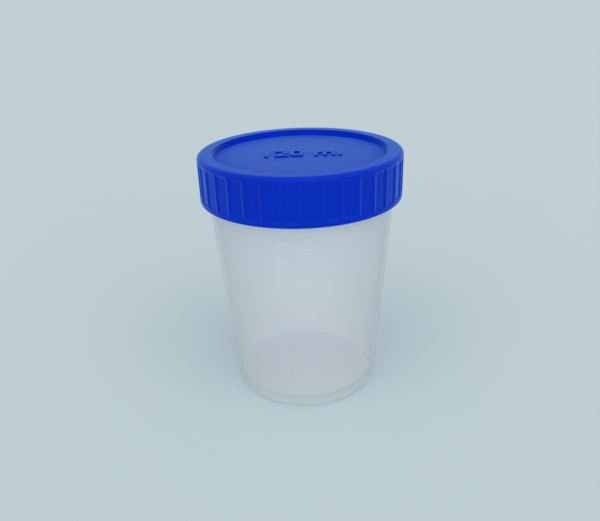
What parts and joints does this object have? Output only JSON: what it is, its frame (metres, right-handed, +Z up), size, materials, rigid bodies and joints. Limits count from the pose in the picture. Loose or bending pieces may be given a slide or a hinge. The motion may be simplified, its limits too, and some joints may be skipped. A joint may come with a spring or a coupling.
{
  "type": "specimen cup with screw lid",
  "caption": "Wide-mouth translucent plastic specimen cup with a tapered thin wall, a screw thread on its neck and a ribbed blue screw lid with a recessed top.",
  "frame": {"origin": "centre of the foot ring, on the surface the cup stands on", "axes": "+Z up along the axis of the cup and the lid, -Y towards the side that faces the viewer in the picture, +X to that viewer's right"},
  "size_m": [0.062, 0.062, 0.0775],
  "materials": {
    "cup_plastic": "satin",
    "lid_plastic": "satin"
  },
  "bodies": {
    "cup": {"cup": "cup_plastic"},
    "lid": {"lid": "lid_plastic"}
  },
  "joints": [
    {"name": "lid_lift", "type": "slide", "parent": "cup", "child": "lid", "axis": [0, 0, 1], "range_m": [0, 0.06]}
  ]
}
